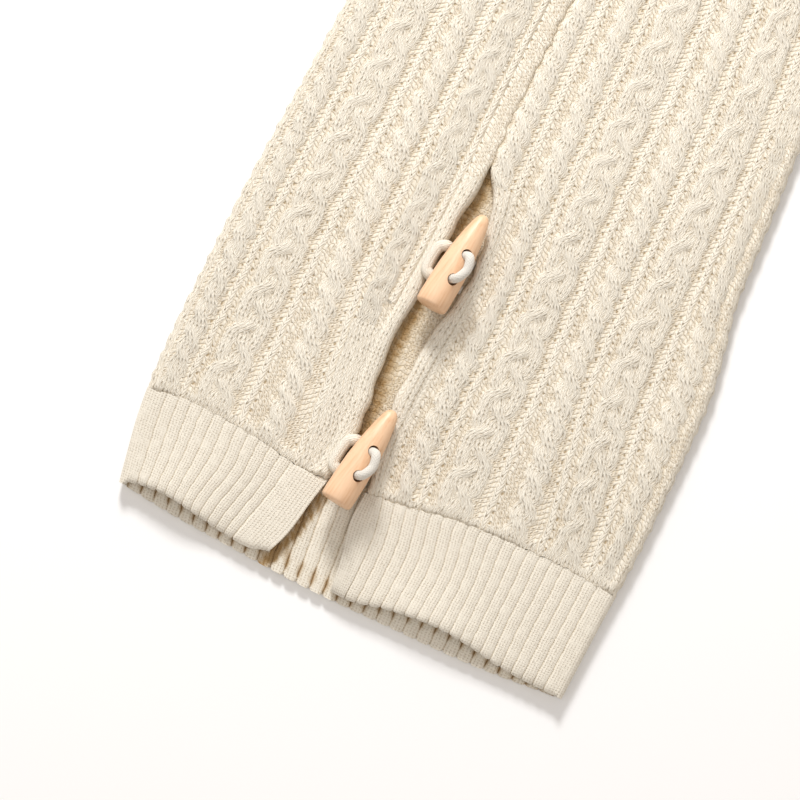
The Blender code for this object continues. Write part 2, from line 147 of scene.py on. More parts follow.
# Each strand of a cable keeps to its lane and crosses to the next at set steps, over or under its neighbour.
cables = {
    "wide": {  # plait of three strands, three wales each
        "strands": 3, "offset": 2, "period": 6, "start": -1,
        "moves": ((0, 1, 1), (1, 1, -1), (3, -1, 1), (4, -1, -1)),  # at step, lanes moved, over or under
        "lane": 4.65, "strandHalf": 2.6, "half": 7.0, "usual": 17.0, "step": 8.3, "cross": 0.46, "phase": 114.5,
        "width": 14.6, "dome": 0.7, "weave": 0.36,
    },
    "narrow": {  # rope of two strands, two wales each
        "strands": 2, "offset": 1, "period": 2, "start": 1,
        "moves": ((0, -2, 1), (1, 2, -1)),
        "lane": 1.7, "strandHalf": 2.5, "half": 3.9, "usual": 13.0, "step": 8.3, "cross": 0.5, "phase": 112.0,
        "width": 9.4, "dome": 0.8, "weave": 0.42,
    },
}
# kind, lines at the left and right, pattern shift, margins, and the ladders' places from the two lines
frontIntervals = (
    ("narrow", "leftTop", "ladder1", 3, 1.6, 3.2, None, 0),
    ("wide", "ladder1", "ladder2", 2, 3.8, 4.2, 0, 0),
    ("narrow", "ladder2", "ladder3", 1, 4.6, 3.6, 0, 0),
    ("wide", "ladder3", "bandLeft", -3, 3.4, 4.4, 0, 1.7),
    ("narrow", "bandRight", "ladder4", 4, 4.6, 3.2, -0.9, 0),
    ("wide", "ladder4", "ladder5", 0, 4, 4.4, 0, 0),
    ("narrow", "ladder5", "ladder6", -2, 4.9, 3.3, 0, 0),
    ("wide", "ladder6", "ladder7", 1.3, 4.2, 4.2, 0, 0),
    ("narrow", "ladder7", "rightTop", 5, 4.6, 2.6, 0, None),
)


def strandState(kind, k, y):  # a strand's centre, slope and height along the cable
    c = cables[kind]
    s = ((y - c["phase"]) / c["step"] + k * c["offset"]) % c["period"]
    place, slope, lift = np.full(np.shape(y), float(c["start"])), np.zeros(np.shape(y)), np.zeros(np.shape(y))
    for at, lanes, over in c["moves"]:
        for turn in (0, c["period"]) if at == 0 else (0,):
            q = np.clip((s - at - turn + c["cross"]) / (2 * c["cross"]), 0, 1)
            place = place + lanes * smooth(q)
            slope = slope + lanes * 6 * q * (1 - q) / (2 * c["cross"])
            lift = lift + over * np.exp(-(((s - at - turn) / c["cross"]) ** 2))
    return c["lane"] * place, c["lane"] * slope / c["step"], c["weave"] * lift


def cableField(kind, e, y):  # height over the ground and which strand is on top
    c = cables[kind]
    best = np.full(np.shape(e), -9.0)
    top = np.full(np.shape(e), -1)
    for k in range(c["strands"]):
        centre, slope, lift = strandState(kind, k, y)
        across = (e - centre) / np.sqrt(1 + 0.6 * slope**2) / c["strandHalf"]
        inside = np.abs(across) < 1
        height = lift + c["dome"] * np.sqrt(np.clip(1 - across**2, 0, 1)) ** 0.8
        better = inside & (height > best)
        best = np.where(better, height, best)
        top = np.where(better, k, top)
    base = 0.45 * smooth((c["half"] - np.abs(e)) / 1.2)  # between the strands it doesn't reach the ground
    return np.where(top >= 0, np.maximum(best + 0.4, base), base), top


def strandCoordinates(kind, k, e, y):  # wales across a strand and courses along it
    centre, slope, _ = strandState(kind, k, y)
    away = e - centre
    return away / knit["wale"] + 0.5 * cables[kind]["strands"], (y + 0.4 * slope * away) / knit["course"]


def edgeAt(name, y):  # the right band's edge stops at the left one's where the slit is closed
    if name == "slitRight":
        return np.maximum(lineAt(name, y), lineAt("slitLeft", y) + 0.15)
    return lineAt(name, y)


def inInterval(plan, x, y):  # place in the cable's own pattern, and distances from the ladders
    kind, left, right, shift, marginLeft, marginRight, ladderLeft, ladderRight = plan
    c = cables[kind]
    lo, hi = edgeAt(left, y), edgeAt(right, y)
    squeeze = np.minimum(1, (hi - lo) / c["usual"]) ** 1.6
    start, end = lo + marginLeft * squeeze, hi - marginRight * squeeze
    e = (x - (start + end) / 2) * 2 * c["half"] / np.minimum(end - start, c["width"])
    fromLeft = np.full(np.shape(x), 99.0) if ladderLeft is None else x - lo - ladderLeft
    fromRight = np.full(np.shape(x), -98.0) if ladderRight is None else x - hi + ladderRight
    if right == "bandLeft":  # the lip beside the slit is plain
        fromRight = np.where(y < knit["plainLip"], -98.0, fromRight)
    return e, y + shift, fromLeft, fromRight


def cableGrowth(above):  # how far the cables have risen, by the height above the cuff's seam
    return smooth((above - 1) / knit["cableStart"])


def reliefAt(plan, x, y, grown):  # height over the ground; strand on top, -1 purl, -2 ladder or -3 plain
    e, cy, fromLeft, fromRight = inInterval(plan, x, y)
    height, top = cableField(plan[0], e, cy)
    near = np.minimum(np.abs(fromLeft), np.abs(fromRight))
    onLadder = near < knit["ladderHalf"]
    wide = (edgeAt(plan[2], y) - edgeAt(plan[1], y)) / cables[plan[0]]["usual"]
    grown = grown * smooth((wide - 0.72) / 0.2)  # no cable where its field narrows to a plain lip
    ladder = knit["ladderRise"] * np.sqrt(np.clip(1 - (near / (knit["ladderHalf"] + 0.3)) ** 2, 0, 1))
    height = np.where(onLadder, np.maximum(ladder, 0), height * grown + 0.62 * (1 - grown))
    top = np.where(onLadder, -2, top)
    return height, np.where((grown < 0.25) & (top != -2), -3, top)


def clothHeight(plan, x, y, above, grown):  # of the outside over the front layer's inside, and its hollows
    relief = reliefAt(plan, x, y, grown)[0]
    relief = relief + 0.1 * np.sin(3.1 * x + 2 * np.sin(1.7 * y)) * np.sin(2.3 * y + 2 * np.sin(1.3 * x))
    dip = np.clip(seamDip(above) + seamDip(leg["topSeam"] - y), 0, 1)
    puff = 0.15 * np.exp(-(((above - 3.2) / 2.4) ** 2))  # plain rows puff out over the cuff
    fromFolds = np.minimum(x - lineAt("leftTop", y), lineAt("rightTop", y) - x)
    puff = puff + (foldRadius * 2 - frontInside - body["ground"]) * np.exp(-((fromFolds / 2.2) ** 2))
    return mix(body["ground"] + relief + puff + softWave(x, y), body["edge"], dip), relief, dip


def stitchesAt(plan, fx, fy, faceX, faceY, grown):  # wale, course and kind for the corners of faces
    _, top = reliefAt(plan, faceX, faceY, grown)
    e, cy, fromLeft, fromRight = inInterval(plan, fx, fy)
    _, _, faceLeft, faceRight = inInterval(plan, faceX, faceY)
    near = np.where((np.abs(faceLeft) < np.abs(faceRight))[:, None], fromLeft, fromRight)
    wale, course = (fx - edgeAt(plan[1], fy)) / knit["wale"] + 100, fy / knit["course"]
    purl = np.zeros(np.shape(wale))
    for k in range(cables[plan[0]]["strands"]):
        here = top == k
        wale[here], course[here] = strandCoordinates(plan[0], k, e[here], cy[here])
    wale[top == -2] = (near / (2 * knit["ladderHalf"]) + 0.5)[top == -2]
    wale[top == -1] = (near / knit["wale"])[top == -1]
    purl[top == -2] = 0.5
    purl[top == -1] = 1
    return wale, course, purl


gridKeys = ("column", "row", "side")


def gridMesh(name, columns, rows, closed=False):  # a grid and its other side, with column, row and side kept
    bm = bmesh.new()
    bmesh.ops.create_grid(bm, x_segments=columns, y_segments=rows, size=1)
    column, row, side = (bm.verts.layers.int.new(key) for key in gridKeys)
    for vert in bm.verts:
        vert[column] = round((vert.co.x + 1) / 2 * columns)
        vert[row] = round((vert.co.y + 1) / 2 * rows)
    if closed:
        for vert in bm.verts:
            angle = math.tau * vert[column] / columns
            vert.co = (math.cos(angle), math.sin(angle), vert.co.y)
        bmesh.ops.remove_doubles(bm, verts=bm.verts, dist=1e-5)
        for vert in bm.verts:
            vert[column] %= columns
    for item in bmesh.ops.extrude_face_region(bm, geom=bm.faces[:])["geom"]:
        if isinstance(item, bmesh.types.BMVert):
            item[side] = 1
    return meshOf(name, bm)


def meshOf(name, bm):
    mesh = bpy.data.meshes.new(name)
    bm.to_mesh(mesh)
    bm.free()
    return mesh


def linked(name, data):
    made = bpy.data.objects.new(name, data)
    bpy.context.scene.collection.objects.link(made)
    return made


def faceOutwards(bm):
    bm.normal_update()
    bmesh.ops.recalc_face_normals(bm, faces=bm.faces)


def readInts(mesh, name):
    values = np.zeros(len(mesh.vertices), np.int32)
    mesh.attributes[name].data.foreach_get("value", values)
    return values


def legPlace(side, x, y, z):  # a leg's millimetres into the pair's metres
    return np.stack([side * (leg["centreOffset"] - x), y - leg["length"] / 2, z], axis=-1) * mm


def pairPoint(side, x, y, z):  # the same for one point
    return Vector((side * (leg["centreOffset"] - x), y - leg["length"] / 2, z)) * mm


def knitPiece(name, side, columns, rows, spots, stitches, material, closed=False):
    # spots gives points and their painted shade, and stitches gives wale, course and kind of face corners, by
    # column, row and side
    mesh = gridMesh(name, columns, rows, closed)
    col, row, layer = (readInts(mesh, key) for key in gridKeys)
    x, y, z, paintedShade = spots(col, row, layer)
    mesh.vertices.foreach_set("co", legPlace(side, x, y, z).astype(np.float32).ravel())
    bm = bmesh.new()
    bm.from_mesh(mesh)
    faceOutwards(bm)
    bm.to_mesh(mesh)
    bm.free()
    corners = np.zeros(len(mesh.loops), np.int32)
    mesh.loops.foreach_get("vertex_index", corners)
    corners = corners.reshape(-1, 4)
    c, r, s = col[corners], row[corners], layer[corners]
    if closed:
        c = np.where((c.max(axis=1, keepdims=True) - c > columns / 2), c + columns, c)
    wale, course, purl = stitches(c, r, s)
    uv = np.stack([wale, course], axis=-1).astype(np.float32)
    mesh.uv_layers.new(name="stitch").data.foreach_set("uv", uv.ravel())
    for key, values, domain in (("paintedShade", paintedShade, "POINT"), ("purl", purl, "CORNER")):
        made = mesh.attributes.new(key, "FLOAT", domain)
        made.data.foreach_set("value", np.asarray(values, np.float32).ravel())
    for key in gridKeys:
        mesh.attributes.remove(mesh.attributes[key])
    mesh.shade_smooth()
    mesh.set_sharp_from_angle(angle=math.radians(70))
    mesh.materials.append(material)
    piece = linked(name, mesh)
    return piece


# Where the cloth was laid: soft swells and troughs, each at x, y with its reach both ways and its height.
swells = (
    (-27, 72, 8, 24, 1),
    (-28, 98, 7, 10, 0.6),
    (-8, 92, 5, 16, 0.6),
    (-12, 188, 7, 10, 0.7),
    (-20, 174, 5, 9, 0.5),
    (48, 74, 17, 22, 0.6),
    (22, 140, 14, 30, 0.4),
    (-70, 96, 16, 34, -0.5),
    (72, 120, 12, 26, -0.5),
    (-52, 60, 13, 12, 0.5),
    (10, 62, 9, 12, -0.4),
    (-50, 240, 20, 30, 0.5),
    (40, 230, 22, 26, -0.5),
    (0, 276, 30, 12, 0.4),
)


def addHills(total, hills, x, y):
    for atX, atY, reachX, reachY, rise in hills:
        total = total + rise * np.exp(-(((x - atX) / reachX) ** 2) - ((y - atY) / reachY) ** 2)
    return total


def softWave(x, y):
    lay = 0.25 * np.sin(x / 19 + 1.3 * np.sin(y / 47)) * np.sin(y / 31 + 0.8 * np.sin(x / 37))
    return addHills(lay, swells, x, y)


def foldPoint(edge, way, share, inside):
    angle = np.pi * share - np.pi / 2
    reach = np.where(inside, foldRadius - leg["foldWall"], foldRadius)
    return edge + way * (foldRadius - reach * np.cos(angle)), np.where(
        inside, foldRadius + leg["slot"] / 2 * np.sign(np.sin(angle) + 1e-6), foldRadius * (1 + np.sin(angle))
    )


# Cable-knit body: columns run from the slit's right band over the right fold, round the back, to the left band.
body = {
    "backShares": (
        0, 0.12, 0.25, 0.38, 0.46, 0.5, 0.52, 0.535, 0.55, 0.565, 0.58, 0.595, 0.61, 0.63, 0.68, 0.78, 0.9, 1,
    ),
    "rows": 232,
    "ground": 2.35,  # of the purl channels over the front layer's inside
    "edge": 2.6,  # where the first row dips into the linking seam
}


def columnX(columns, y):  # every column lies between two lines, by its share
    ends = enumerate(c[2:5] for c in columns)
    return np.stack([mix(lineAt(lineA, y[i]), lineAt(lineB, y[i]), share) for i, (lineA, lineB, share) in ends])


def bodyColumns():
    columns = []  # each is sort, interval or way, two lines, share
    for i in (4, 5, 6, 7, 8, "rightFold", "back", "leftFold", 0, 1, 2, 3):
        if i == "rightFold":
            columns += [("fold", -1, "right", "right", 1 - share) for share in foldShares]
        elif i == "leftFold":
            columns += [("fold", 1, "left", "left", share) for share in foldShares]
        elif i == "back":
            columns += [("back", 0, "rightTop", "leftTop", share) for share in body["backShares"]]
        else:
            left, right = frontIntervals[i][1:3]
            width = lineAt(right, knit["countedAt"]) - lineAt(left, knit["countedAt"])
            steps = round(float(width) / knit["gridStep"])
            columns += [("front", i, left, right, j / steps) for j in range(steps + (i in (8, 3)))]
    return columns


def hollowOf(height, reach=3):  # how far each point lies below its surroundings, the measure for painted shade in the hollows
    columns, rows = height.shape
    grid = np.pad(height, reach, mode="edge")
    total = np.zeros((columns, rows))
    for i in range(2 * reach + 1):
        for j in range(2 * reach + 1):
            total += grid[i : i + columns, j : j + rows]
    return 0.6 * np.clip(total / (2 * reach + 1) ** 2 - height, -0.6, 0.8)


def insideShade(x, y):  # painted shade: the lining side is darker, most of all under the slit's left lip, with a mottle
    under = np.exp(-(((x - lineAt("slitLeft", y) - 1.8) / 2.9) ** 2))
    mottle = np.sin(y / 0.8 + 2 * np.sin(y / 3.1)) * np.sin(x / 0.7 + np.sin(y / 2.3))
    return 0.42 + (1.65 + 0.4 * mottle) * under + 0.2 * mottle


def seamDip(distance):  # 1 in the linking seam, 0 from a few rows on
    return np.exp(-((np.maximum(distance, 0) / 0.8) ** 2))


def buildBody(name, side, material):
    columns = bodyColumns()
    count = len(columns)
    sort, index, _, _, share = map(np.array, zip(*columns))
    seamY = seamAt(columnX(columns, np.full((count, 1), leg["hemSeam"])))
    y = mix(seamY, leg["topSeam"], np.arange(body["rows"] + 1) / body["rows"])
    x = columnX(columns, y)
    above = y - seamY
    grown = cableGrowth(above)
    height, relief, dip = np.zeros(y.shape), np.zeros(y.shape), np.zeros(y.shape)
    for i, plan in enumerate(frontIntervals):
        at = (sort == "front") & (index == i)
        height[at], relief[at], dip[at] = clothHeight(plan, x[at], y[at], above[at], grown[at])
    # painted shade: in the hollows of the relief and in the linking seam's groove
    paintedShade = hollowOf(relief) + 0.3 * dip

    def spots(col, row, layer):
        inside = layer == 1
        px, py = x[col, row], y[col, row]
        angle = np.pi * share[col] - np.pi / 2
        fx, fz = foldPoint(px, index[col], share[col], inside)
        fx = fx + np.cos(angle) * (0.3 * np.sin(py / 1.32 + np.sin(py / 9)) + 0.15 * np.sin(py / 0.66))
        pz = frontInside + np.where(inside, 0.0, height[col, row])
        pz = np.where(sort[col] == "back", np.where(inside, leg["wall"], 0.0), pz)
        onFold = sort[col] == "fold"
        # painted shade on the lining side, deepest under the slit's left lip
        inner = np.where(sort[col] == "back", insideShade(px, py), 0.5)
        return np.where(onFold, fx, px), py, np.where(onFold, fz, pz), np.where(inside, inner, paintedShade[col, row])

    def stitches(col, row, layer):
        colLow = col.min(axis=1)
        fx, fy = x[col, row], y[col, row]
        faceX, faceY = fx.mean(axis=1), fy.mean(axis=1)
        faceGrown = cableGrowth(faceY - seamAt(faceX))
        plainWale = fx / knit["wale"] + 100
        wale, course = plainWale.copy(), fy / knit["course"]
        purl = np.zeros(np.shape(wale))
        for i, plan in enumerate(frontIntervals):
            at = (layer == 0).all(axis=1) & (sort[colLow] == "front") & (index[colLow] == i)
            values = (v[at] for v in (fx, fy, faceX, faceY, faceGrown))
            wale[at], course[at], purl[at] = stitchesAt(plan, *values)
        onFold = (sort[colLow] == "fold") | (sort[col.max(axis=1)] == "fold")
        wale[onFold] = (col / 1.2)[onFold]
        within = (layer == 1).all(axis=1)
        course[within] = (fy / 2.3 - 0.55 * plainWale)[within]
        wale[within], purl[within] = plainWale[within], 1
        return wale, course, purl

    return knitPiece(name, side, count - 1, body["rows"], spots, stitches, material)


# Ribbed cuffs
ribs = {
    "left": 12,
    "right": 19,
    "back": 32,
    "top": 35,
    "course": 1.0,
    "base": 2.15,
    "rise": 0.6,
    "insideRise": 0.8,
    "edge": 2.6,
    "wales": 4,  # to a rib
    "hemRows": 34,
    "topRows": 40,
    "plain": 2.85,
    "mouthLift": 3.4,
}
ribShares = (0.0, 0.07, 0.22, 0.5, 0.78, 0.93)  # columns across each rib, close together at its groove
arches = ((-72, 26), (38, 40))
leans = (  # where the ribs bend sideways: x, y, reach both ways, by how much
    (-57, 29, 11, 9, 1.3),
    (-60, 12, 12, 7, -0.6),
    (-80, 24, 9, 12, 0.6),
    (30, 26, 16, 10, 0.9),
    (66, 22, 14, 12, -0.7),
)


def ribProfile(share):  # 1 on a rib's back, 0 in its groove
    return 1 - np.abs(2 * share - 1) ** 6


def ribColumns(count):
    return [n + s for n in range(count) for s in ribShares] + [float(count)]


def ribbed(count):
    return ribColumns(count), count, ribs["wales"] * count


def cuffColumns(parts, run):  # parts are sort, two lines, places, ribs or 1, wales
    columns = []
    for sort, lineA, lineB, places, over, wales in parts:
        for place in places:
            share = place / over
            wale = run + wales * (1 - share if lineA == "right" else share)
            columns.append((sort, place, lineA, lineB, share, wale))
        run += wales
    return columns, *map(np.array, zip(*columns))


def ribStitches(wales, y):
    return lambda col, row, _: (wales[col], y[col % len(y), row] / ribs["course"], np.zeros(np.shape(col)))


def buildHemRib(name, side, material):
    parts = (
        ("plain", "slitRight", "ribRight", [j / 10 for j in range(10)] + [0.95], 1, 8),
        ("rib", "ribRight", "rightTop", *ribbed(ribs["right"])),
        ("fold", "right", "right", foldShares[::-1], 1, 9),
        ("back", "rightTop", "leftTop", *ribbed(ribs["back"])),
        ("fold", "left", "left", foldShares, 1, 9),
        ("rib", "leftTop", "ribLeft", *ribbed(ribs["left"])),
        ("plain", "ribLeft", "slitLeft", [0.05] + [j / 10 for j in range(1, 11)], 1, 11),
    )
    columns, sort, place, _, _, share, wales = cuffColumns(parts, 0)
    count = len(columns)
    rows = ribs["hemRows"]

    def xAt(y):  # y is (columns, rows)
        x = columnX(columns, y)
        lean = addHills(np.zeros(x.shape), leans, x, y)
        uneven = 0.07 * np.sin(y / 1.4 + 2.1 * place[:, None]) + 0.06 * np.sin(y / 0.7 + 1.3 * place[:, None])
        return x + lean * (sort == "rib")[:, None] + uneven * ((sort == "rib") | (sort == "back"))[:, None]

    flat = np.ones((count, 1))
    hemX = xAt(flat * 0.0)[:, 0]
    topX = xAt(flat * leg["hemSeam"])[:, 0]
    isBack = (sort == "back") | (sort == "fold")
    hemY = np.where(isBack, curveAt(backHem, hemX), curveAt(frontHem, hemX))
    acrossBack = np.clip((topX - topX.min()) / (topX.max() - topX.min()), 0, 1)
    backTop = mix(seamAt(lineAt("left", 44.0)), seamAt(lineAt("right", 44.0)), acrossBack)
    topY = np.where(isBack, backTop, seamAt(topX))
    t = np.arange(rows + 1) / rows
    onFold = sort == "fold"
    raised = np.where((sort == "rib") | (sort == "back"), ribProfile(place % 1), 1.0)
    lastRib = np.where(sort == "rib", ribs["right"], ribs["back"])
    nextToFold = ((sort == "back") | (hemX > 0)) & (place > lastRib - 0.5)
    nextToFold |= ((sort == "back") | (hemX < -5)) & (place < 0.5)
    raised = np.where(nextToFold & (sort != "plain"), 1.0, raised)
    y = mix((hemY - 0.9 * (raised - 0.5))[:, None], topY[:, None], t[None, :])
    x = xAt(y)
    edgeSoft = 1 - 0.45 * np.exp(-(t * rows) / 1.1)  # the cast edge rounds off
    arch = np.maximum.reduce([smooth(1 - np.abs(x - crown) / half) for crown, half in arches])
    lift = ribs["mouthLift"] * arch * (1 - t[None, :]) ** 2.2 + softWave(x, y) * t[None, :]
    dip = seamDip(topY[:, None] - y)

    def spots(col, row, layer):
        inside = layer == 1
        px, py = x[col, row], y[col, row]
        way = np.where(hemX[col] < 0, 1, -1)
        fx, fz = foldPoint(px, way, share[col], inside)
        full = np.where(sort[col] == "plain", ribs["plain"], ribs["base"] + ribs["rise"] * raised[col])
        height = mix(full * edgeSoft[row], ribs["edge"], dip[col, row])
        frontZ = frontInside + lift[col, row] + np.where(inside, -0.3 * raised[col], height)
        backZ = np.where(inside, leg["wall"] - ribs["insideRise"] * (1 - raised[col]), 0.0)
        pz = np.where(sort[col] == "back", backZ, frontZ)
        pz = np.where(onFold[col], fz, pz)
        # painted shade in the grooves between the ribs
        groove = np.where(onFold[col] | (sort[col] == "plain"), 0.0, (1 - raised[col]) * 0.45)
        below = curveAt(frontHem, px) - py  # the front layer's edge
        # painted shade inside the opening under the front layer's edge, in strokes down the back ribs' grooves
        mouth = smooth((4.5 - below) / 3.5) * smooth((below + 6) / 5)
        stroke = np.where(sort[col] == "back", np.abs(2 * (place[col] % 1) - 1) ** 2, 0.0)
        inner = insideShade(px, py) - 0.2 + groove + mouth * (0.1 + 1.3 * stroke)
        # painted shade on the lining side and in the linking seam's groove
        paintedShade = np.where(inside, inner, groove) + 0.3 * dip[col, row]
        return np.where(onFold[col], fx, px), py, pz, paintedShade

    return knitPiece(name, side, count - 1, rows, spots, ribStitches(wales, y), material)


def buildTopRib(name, side, material):
    parts = (
        ("fold", "left", "left", foldShares, 1, 9),
        ("rib", "leftTop", "rightTop", *ribbed(ribs["top"])),
        ("fold", "right", "right", foldShares[::-1], 1, 9),
        ("back", "rightTop", "leftTop", range(17), 16, ribs["wales"] * ribs["top"]),
    )
    columns, sort, place, lineName, _, share, wales = cuffColumns(parts, -9)
    wales = np.append(wales, wales[-1] + 1)
    count = len(columns)
    rows = ribs["topRows"]
    t = np.arange(rows + 1) / rows
    y = np.repeat(mix(leg["topSeam"], leg["length"], t)[None, :], count, axis=0)
    x = columnX(columns, y)
    onFold = sort == "fold"
    raised = np.where(sort == "rib", ribProfile(place % 1), 1.0)

    def spots(col, row, layer):
        col = col % count
        inside = layer == 1
        way = np.where(lineName[col] == "left", 1, -1)
        px, py = x[col, row], y[col, row]
        fx, fz = foldPoint(px, way, share[col], inside)
        dip = seamDip(py - leg["topSeam"])
        height = mix(ribs["base"] + ribs["rise"] * raised[col] + softWave(px, py), ribs["edge"], dip)
        pz = frontInside + np.where(inside, 0.0, height)
        pz = np.where(sort[col] == "back", np.where(inside, leg["wall"], 0.0), pz)
        pz = np.where(onFold[col], fz, pz)
        # painted shade in the grooves between the ribs
        paintedShade = np.where(onFold[col], 0.0, (1 - raised[col]) * 0.45)
        return np.where(onFold[col], fx, px), py, pz, paintedShade

    return knitPiece(name, side, count, rows, spots, ribStitches(wales, y), material, closed=True)


# Slit bands: plain borders that roll softly at the slit; above it they close into the front seam
bands = {
    "steps": {"bandLeft": 9, "bandRight": 13},
    "rows": 232,
    "open": ((0, 2.35), (0.15, 2.75), (0.4, 3.3), (0.7, 3.5), (0.9, 2.9), (1, 1.5)),  # height across
    "closed": ((0, 2.35), (0.5, 2.45), (0.8, 2.5), (0.93, 2.4), (1, 2.1)),  # above the slit
    "slitTip": 178.0,
    "plans": {
        "bandLeft": ("narrow", "bandLeft", "slitLeft", 2.0, 3.4, -0.6, None, None),
        "bandRight": ("narrow", "slitRight", "bandRight", -1.0, 0.4, 4.6, None, 0.9),
    },
}


def buildBand(name, side, border, edge, material):
    rows, steps = bands["rows"], bands["steps"][border]
    plan = bands["plans"][border]
    share = (np.arange(steps + 1) / steps)[:, None]
    foot = seamAt(mix(lineAt(border, leg["hemSeam"]), edgeAt(edge, leg["hemSeam"]), share))
    y = mix(foot, leg["topSeam"], np.arange(rows + 1) / rows)
    opened = smooth((bands["slitTip"] + 2 - y) / 14)
    x = mix(lineAt(border, y), edgeAt(edge, y), share)
    x = x + 0.4 * opened * share**2 * np.sin(y / 2.9 + 2 * np.sin(y / 11))
    wander = 0.4 * np.sin(y / 2.3 + 2 * np.sin(y / 7.1)) + 0.3 * np.sin(y / 1.1 + 1.5 * np.sin(y / 5.3))
    x = x + (1 - opened) * share * (wander + (0.16 if border == "bandLeft" else -0.16))
    x[0] += 0.25 if border == "bandRight" else -0.25  # the foot tucks in under the body
    grown = cableGrowth(y - foot) * (1 - 0.75 * opened)
    shares = np.repeat(share, rows + 1, axis=1)
    relief = reliefAt(plan, x, y, grown)[0]
    height = mix(curveAt(bands["closed"], shares), curveAt(bands["open"], shares), opened)
    height = height + relief * np.clip((1 - shares) * 6, 0, 1) * np.clip(shares * 6, 0.4, 1)
    dip = np.clip(seamDip(y - foot) + seamDip(leg["topSeam"] - y), 0, 1)
    height = mix(height + softWave(x, y) + 0.25 * opened * share * np.sin(y / 6.5 + 1), body["edge"], dip)
    beside = next(p for p in frontIntervals if border in p[1:3])
    above = y[:1] - foot[:1]
    joined = clothHeight(beside, x[:1], y[:1], above, cableGrowth(above))[0]
    height = mix(joined, height, smooth(shares / 0.3))
    height[0] -= 0.06
    # painted shade: in the hollows of the relief, in the linking seam's groove and along the slit's edge
    paintedShade = hollowOf(relief) + 0.3 * dip + np.where(shares > 0.97, 0.25, 0.0)

    def spots(col, row, layer):
        inside = layer == 1
        pz = frontInside + np.where(inside, 0.0, height[col, row])
        # painted shade on the lining side
        return x[col, row], y[col, row], pz, np.where(inside, 0.5, paintedShade[col, row])

    def stitches(col, row, layer):
        fx, fy = x[col, row], y[col, row]
        faceX, faceY = fx.mean(axis=1), fy.mean(axis=1)
        faceGrown = grown[col, row].mean(axis=1)
        wale, course, purl = stitchesAt(plan, fx, fy, faceX, faceY, faceGrown)
        rolled = faceGrown < 0.4
        wale[rolled] = (share[col, 0] * 4 + 200)[rolled]
        purl[rolled] = 0
        channel = (faceGrown >= 0.4) & (border == "bandLeft")
        wale[channel] = ((fx - lineAt(border, fy) + 1.7) / knit["wale"])[channel]
        course[channel], purl[channel] = (fy / knit["course"])[channel], 1
        return wale, course, purl

    return knitPiece(name, side, steps, rows, spots, stitches, material)


# Toggles, turned about an axis from base to tip
toggle = {
    "profile": (
        (0, 0), (0, 5.4), (0.25, 5.95), (0.9, 6.3), (4, 6.4), (12, 6.3), (18, 6.05), (23, 5.6),
        (28, 5), (33, 4.2), (37, 3.35), (39.2, 2.7), (40.4, 2), (41.05, 1.1), (41.25, 0),
    ),
    "steps": 56,
    "height": 14.9,
    "dip": math.radians(4.0),
    "roll": math.radians(24.0),
    "holes": (12.3, 23.3),
    "holeRadius": 2.3,
    "rimHeight": 6.05,  # from here out the hole widens
    "rimFlare": 1.35,
    "cutDepth": 18.0,
    "rest": {"upper": (-13.0, 116.0, 5.6), "lower": (-13.7, 33.5, 7.3)},  # base x, base y, lean in degrees
}


def toggleAxes(which):
    baseX, baseY, leanDegrees = toggle["rest"][which]
    lean, level = math.radians(leanDegrees), math.cos(toggle["dip"])
    along = Vector((math.sin(lean) * level, math.cos(lean) * level, -math.sin(toggle["dip"])))
    side = along.cross(Vector((0, 0, 1))).normalized()
    up = side.cross(along)
    across = up * math.cos(toggle["roll"]) + side * math.sin(toggle["roll"])
    sideways = side * math.cos(toggle["roll"]) - up * math.sin(toggle["roll"])
    return Vector((baseX, baseY, toggle["height"])), along, across, sideways


def togglePoint(which, distance, holeWay, sideWay=0.0):
    base, along, across, sideways = toggleAxes(which)
    return base + along * distance + across * holeWay + sideways * sideWay


def placeMesh(bm, side, which):
    for vert in bm.verts:
        x, y, distance = vert.co
        vert.co = pairPoint(side, *togglePoint(which, distance, x, y))
    faceOutwards(bm)


def buildToggle(name, side, which, material):
    bm = bmesh.new()
    verts = [bm.verts.new((radius, 0, distance)) for distance, radius in toggle["profile"]]
    edges = [bm.edges.new(pair) for pair in zip(verts, verts[1:])]
    turn = {"cent": (0, 0, 0), "axis": (0, 0, 1), "angle": math.tau, "steps": toggle["steps"]}
    bmesh.ops.spin(bm, geom=verts + edges, use_merge=True, **turn)
    bmesh.ops.remove_doubles(bm, verts=bm.verts, dist=1e-4)
    placeMesh(bm, side, which)
    piece = linked(name, meshOf(name, bm))
    drillSize = {"radius1": toggle["holeRadius"], "radius2": toggle["holeRadius"], "depth": toggle["cutDepth"]}
    for distance in toggle["holes"]:
        bm = bmesh.new()
        bmesh.ops.create_cone(bm, cap_ends=True, segments=40, **drillSize)
        for height in (toggle["rimHeight"], -toggle["rimHeight"]):
            parts = bm.verts[:] + bm.edges[:] + bm.faces[:]
            bmesh.ops.bisect_plane(bm, geom=parts, plane_co=(0, 0, height), plane_no=(0, 0, 1))
        for vert in bm.verts:
            x, y, z = vert.co
            grown = toggle["rimFlare"] if abs(z) > toggle["rimHeight"] + 1 else 1.0
            vert.co = (z, y * grown, distance + x * grown)
        placeMesh(bm, side, which)
        cutter = linked(name + "_cut", meshOf(name + "_cut", bm))
        drill = piece.modifiers.new("hole", "BOOLEAN")
        drill.operation, drill.solver, drill.object = "DIFFERENCE", "EXACT", cutter
        applyModifiers(piece)
        bpy.data.objects.remove(cutter)
    piece.data.shade_smooth()
    piece.data.set_sharp_from_angle(angle=math.radians(42))
    piece.data.materials.clear()
    piece.data.materials.append(material)
    return piece


def applyModifiers(piece):
    deps = bpy.context.evaluated_depsgraph_get()
    solved = bpy.data.meshes.new_from_object(piece.evaluated_get(deps))
    piece.modifiers.clear()
    piece.data = solved


